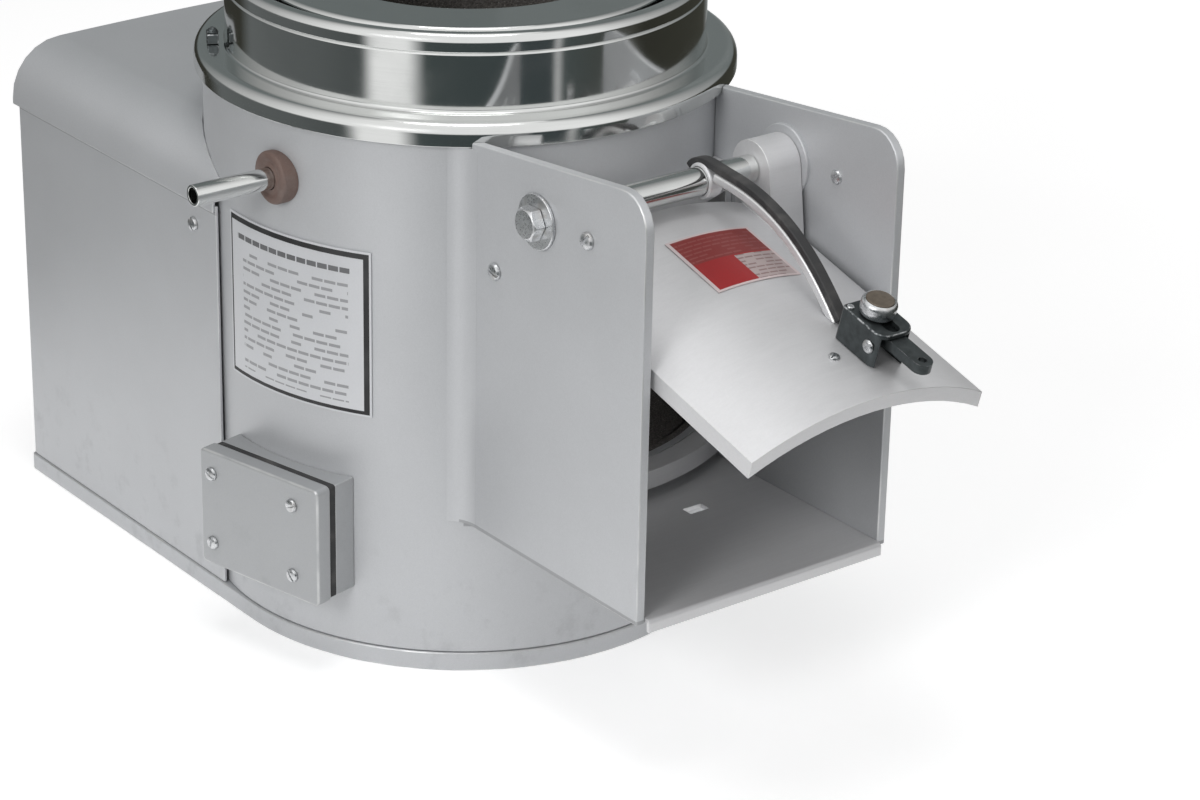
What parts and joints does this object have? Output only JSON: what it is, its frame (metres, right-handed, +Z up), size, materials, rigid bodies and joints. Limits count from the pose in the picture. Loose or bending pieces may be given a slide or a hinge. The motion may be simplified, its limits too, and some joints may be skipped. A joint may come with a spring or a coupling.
{
  "type": "potato peeling machine",
  "caption": "Countertop drum peeler with a belt-driven abrasive disc, rear motor housing, polished hopper collar and a hinged discharge door between chute cheeks.",
  "frame": {"origin": "on the drum's axis at the underside of the base plate, where the machine stands", "axes": "+Z up along the drum's axis, -Y out of the discharge chute, +Y towards the motor housing, -X towards the water inlet"},
  "size_m": [0.42, 0.673, 0.398],
  "materials": {
    "silver_paint": "light silver-grey satin paint",
    "satin_aluminium": "satin cast or rolled aluminium",
    "polished_steel": "polished stainless steel",
    "zinc_steel": "bright zinc-plated steel",
    "dark_steel": "blackened steel",
    "cast_iron": "machined cast iron",
    "motor_paint": "dark grey motor enamel",
    "grit": "coarse abrasive coating",
    "black_rubber": "matte black rubber",
    "brown_rubber": "reddish brown rubber",
    "printed_plate": "pale printed plate",
    "red_panel": "red label with a pale border"
  },
  "bodies": {
    "frame": {"base_plate": "silver_paint", "drum_shell": "silver_paint", "drum_liner": "grit", "drum_floor": "satin_aluminium", "bearing_housing": "cast_iron", "lower_bearing": "zinc_steel", "upper_bearing": "zinc_steel", "shaft_seal": "black_rubber", "drive_belt": "black_rubber", "motor_body": "motor_paint", "motor_mount": "zinc_steel", "motor_housing": "silver_paint", "motor_cover": "silver_paint", "housing_bracket_left": "zinc_steel", "housing_bracket_right": "zinc_steel", "housing_screw_left": "zinc_steel", "housing_screw_right": "zinc_steel", "hopper_collar": "polished_steel", "chute_cheek_left": "silver_paint", "chute_cheek_right": "silver_paint", "chute_floor": "satin_aluminium", "chute_screw_left_front": "zinc_steel", "chute_screw_left_back": "zinc_steel", "chute_screw_right_front": "zinc_steel", "chute_screw_right_back": "zinc_steel", "door_jamb": "satin_aluminium", "hinge_rod": "zinc_steel", "hinge_nut": "zinc_steel", "pivot_washer_left": "zinc_steel", "pivot_washer_right": "zinc_steel", "junction_box": "silver_paint", "junction_gasket": "black_rubber", "junction_cover": "silver_paint", "junction_screw_left_lower": "zinc_steel", "junction_screw_left_upper": "zinc_steel", "junction_screw_right_lower": "zinc_steel", "junction_screw_right_upper": "zinc_steel", "inlet_pipe": "polished_steel", "inlet_grommet": "brown_rubber", "drain_spout": "satin_aluminium", "instruction_plate": "printed_plate"},
    "disc": {"drive_shaft": "zinc_steel", "driven_pulley": "cast_iron", "disc_plate": "satin_aluminium", "abrasive_disc": "grit", "disc_nut": "zinc_steel"},
    "rotor": {"motor_shaft": "zinc_steel", "motor_pulley": "cast_iron"},
    "door": {"door_panel": "satin_aluminium", "door_gasket": "black_rubber", "door_label": "red_panel", "hinge_tube": "satin_aluminium", "door_handle": "satin_aluminium", "handle_grip": "black_rubber", "latch_bracket": "dark_steel"},
    "latch": {"latch_bolt": "zinc_steel", "latch_knob": "zinc_steel"},
    "splash_ring": {"splash_ring": "satin_aluminium"},
    "clip_left": {"collar_clip_left": "dark_steel"},
    "clip_right": {"collar_clip_right": "dark_steel"}
  },
  "joints": [
    {"name": "disc_spin", "type": "hinge", "parent": "frame", "child": "disc", "pos_m": [0, 0, 0.11], "axis": [0, 0, 1], "continuous": true},
    {"name": "motor_spin", "type": "hinge", "parent": "frame", "child": "rotor", "pos_m": [0, 0.219, 0.04], "axis": [0, 0, 1], "continuous": true},
    {"name": "door_hinge", "type": "hinge", "parent": "frame", "child": "door", "pos_m": [0, -0.2, 0.3125], "axis": [1, 0, 0], "range_deg": [-8, 75]},
    {"name": "latch_slide", "type": "slide", "parent": "door", "child": "latch", "axis": [0, -0.9659, -0.2588], "range_m": [0, 0.0135]},
    {"name": "splash_ring_lift", "type": "slide", "parent": "frame", "child": "splash_ring", "axis": [0, 0, 1], "range_m": [0, 0.06]},
    {"name": "clip_left_turn", "type": "hinge", "parent": "frame", "child": "clip_left", "pos_m": [-0.13425, 0.07442, 0.3513], "axis": [0, 0, 1], "range_deg": [0, 90]},
    {"name": "clip_right_turn", "type": "hinge", "parent": "frame", "child": "clip_right", "pos_m": [0.13425, 0.07442, 0.3513], "axis": [0, 0, 1], "range_deg": [-90, 0]}
  ],
  "couplings": [
    {"joint": "motor_spin", "follows": "disc_spin", "ratio": 3}
  ]
}
